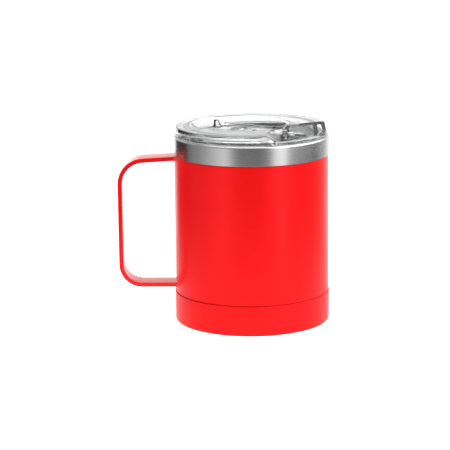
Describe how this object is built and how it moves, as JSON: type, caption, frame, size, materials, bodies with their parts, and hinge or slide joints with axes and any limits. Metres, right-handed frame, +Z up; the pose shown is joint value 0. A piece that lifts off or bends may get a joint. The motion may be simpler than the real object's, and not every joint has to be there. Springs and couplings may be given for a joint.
{
  "type": "insulated travel mug",
  "caption": "Double-wall steel mug with a strip handle, bare steel rim band and a clear press-in lid whose slider opens a drinking hole.",
  "frame": {"origin": "centre of the flat base, on the cup's axis", "axes": "+Z up along the cup's axis, -X towards the handle, the lid's drinking hole at -34 degrees from +X"},
  "size_m": [0.1139, 0.0838, 0.1068],
  "materials": {
    "brushed_steel": "satin, turned lines round the axis",
    "bare_steel": "as pressed",
    "red_powder_coat": "satin powder coat",
    "getter_grey": "sintered, matt",
    "solder": "flowed metal",
    "clear_plastic": "clear moulded copolyester, polished",
    "clear_silicone": "translucent silicone"
  },
  "bodies": {
    "mug": {"inner_liner": "brushed_steel", "outer_shell": "red_powder_coat", "vacuum_base": "bare_steel", "getter": "getter_grey", "port_seal": "solder", "base_cap": "red_powder_coat", "handle": "red_powder_coat"},
    "lid": {"lid_body": "clear_plastic", "lid_gasket": "clear_silicone"},
    "slider": {"slider": "clear_plastic", "slider_seal": "clear_silicone"}
  },
  "joints": [
    {"name": "lid_lift", "type": "slide", "parent": "mug", "child": "lid", "axis": [0, 0, 1], "range_m": [0, 0.045]},
    {"name": "slider_slide", "type": "slide", "parent": "lid", "child": "slider", "axis": [-0.829, 0.5592, 0], "range_m": [0, 0.013]}
  ]
}
